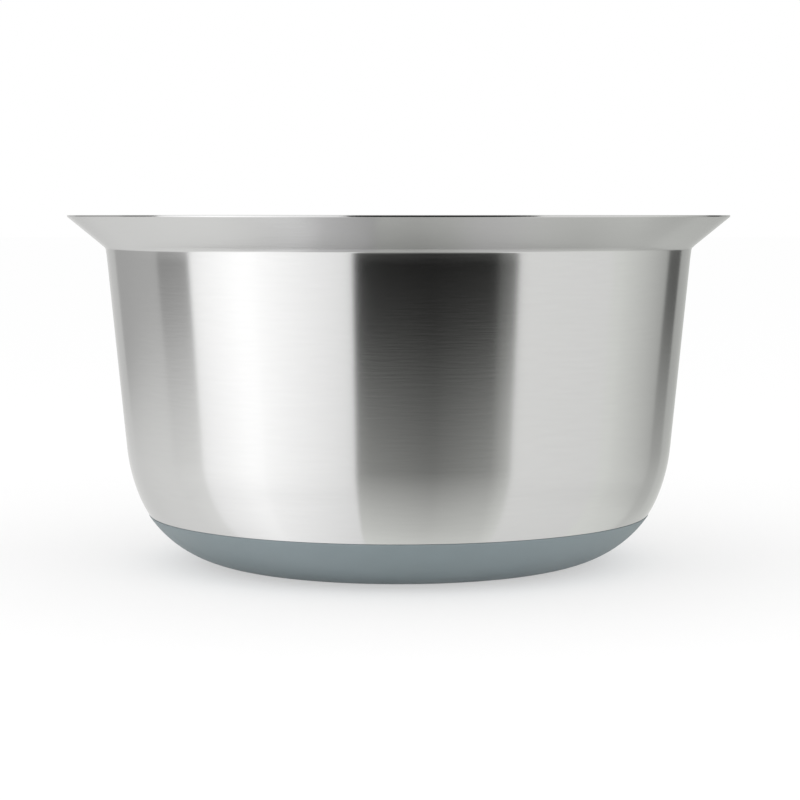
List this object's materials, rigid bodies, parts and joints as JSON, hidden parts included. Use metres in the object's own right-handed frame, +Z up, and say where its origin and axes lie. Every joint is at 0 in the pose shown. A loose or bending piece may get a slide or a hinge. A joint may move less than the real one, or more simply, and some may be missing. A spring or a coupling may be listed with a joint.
{
  "type": "mixing bowl",
  "caption": "Round stainless steel mixing bowl with a flared pouring rim, straight tapered sides and a bonded non-slip silicone base.",
  "frame": {"origin": "on the bowl's axis, in the plane of the flat foot that it stands on", "axes": "+Z up along the bowl's axis, out of its mouth; the bowl is round, so +X and +Y are free, and the picture looks along +Y"},
  "size_m": [0.24, 0.24, 0.1264],
  "materials": {
    "steel": "fine brushing round the axis, satin",
    "adhesive": "cured clear silicone adhesive, hidden",
    "silicone": "moulded silicone, smooth matt"
  },
  "bodies": {
    "root": {"bowl_shell": "steel", "adhesive_layer": "adhesive", "silicone_base": "silicone"}
  },
  "joints": []
}
